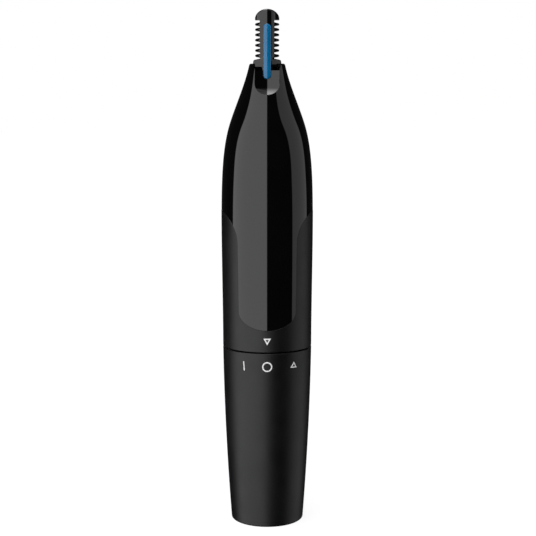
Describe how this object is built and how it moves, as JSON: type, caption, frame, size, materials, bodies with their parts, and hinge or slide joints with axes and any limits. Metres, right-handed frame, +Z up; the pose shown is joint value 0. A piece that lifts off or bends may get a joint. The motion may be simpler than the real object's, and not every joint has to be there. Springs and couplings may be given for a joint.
{
  "type": "nose hair trimmer",
  "caption": "Slim battery nose hair trimmer: tapered handle with gloss front and matte grip, twist cap switch, slotted round guard over a spinning cutter.",
  "frame": {"origin": "middle of the flat base, on the surface that the trimmer stands on", "axes": "+Z up along the middle axis towards the cutting tip, -Y out of the front with the tongue and the marks, +X to the right of that front"},
  "size_m": [0.0262, 0.0262, 0.1467],
  "materials": {
    "gloss_black": "polished moulded plastic",
    "matte_black": "fine spark-eroded grain",
    "guard_black": "polished moulded plastic",
    "strip_blue": "satin moulded plastic",
    "chassis_grey": "moulded plastic",
    "drive_white": "moulded acetal",
    "seal_rubber": "moulded rubber",
    "contact_brass": "stamped strip",
    "bush_bronze": "sintered bronze",
    "coil_copper": "enamelled copper wire",
    "steel": "ground steel",
    "can_steel": "drawn and plated steel",
    "core_iron": "stacked iron sheet",
    "magnet_ferrite": "pressed ferrite",
    "spring_steel": "nickel plated wire",
    "cell_jacket": "printed jacket, plain"
  },
  "bodies": {
    "cap": {"battery_cap": "matte_black", "cap_contact": "contact_brass", "cell_spring": "spring_steel"},
    "twist_ring": {"switch_ring": "chassis_grey"},
    "body": {"housing": "gloss_black", "grip_sleeve": "matte_black", "battery_holder": "chassis_grey", "motor_carrier": "chassis_grey", "chassis_screws": "steel", "chassis_seal": "seal_rubber", "cap_seal": "seal_rubber", "positive_contact": "contact_brass", "negative_contact": "contact_brass", "aa_cell": "cell_jacket", "motor_can": "can_steel", "motor_end_cap": "drive_white", "motor_magnets": "magnet_ferrite", "motor_bushes": "bush_bronze", "motor_brushes": "contact_brass", "motor_screws": "steel", "spindle_bushes": "bush_bronze", "shaft_seal": "seal_rubber"},
    "rotor": {"motor_shaft": "steel", "armature_core": "core_iron", "armature_windings": "coil_copper", "commutator": "coil_copper", "drive_coupling": "drive_white"},
    "cutter": {"cutter_spindle": "steel", "cutter_blades": "steel"},
    "guard": {"guard_comb": "guard_black", "guard_strip": "strip_blue"}
  },
  "joints": [
    {"name": "cap_pull", "type": "slide", "parent": "cap", "child": "twist_ring", "axis": [0, 0, 1], "range_m": [0, 0.05]},
    {"name": "cap_twist", "type": "hinge", "parent": "twist_ring", "child": "body", "pos_m": [0, 0, 0.049], "axis": [0, 0, 1], "range_deg": [-31, 36]},
    {"name": "rotor_spin", "type": "hinge", "parent": "body", "child": "rotor", "pos_m": [0, 0, 0.075], "axis": [0, 0, 1], "continuous": true},
    {"name": "cutter_spin", "type": "hinge", "parent": "body", "child": "cutter", "pos_m": [0, 0, 0.12], "axis": [0, 0, 1], "continuous": true},
    {"name": "guard_pull", "type": "slide", "parent": "body", "child": "guard", "axis": [0, 0, 1], "range_m": [0, 0.024]}
  ],
  "couplings": [
    {"joint": "cutter_spin", "follows": "rotor_spin", "ratio": 1}
  ]
}
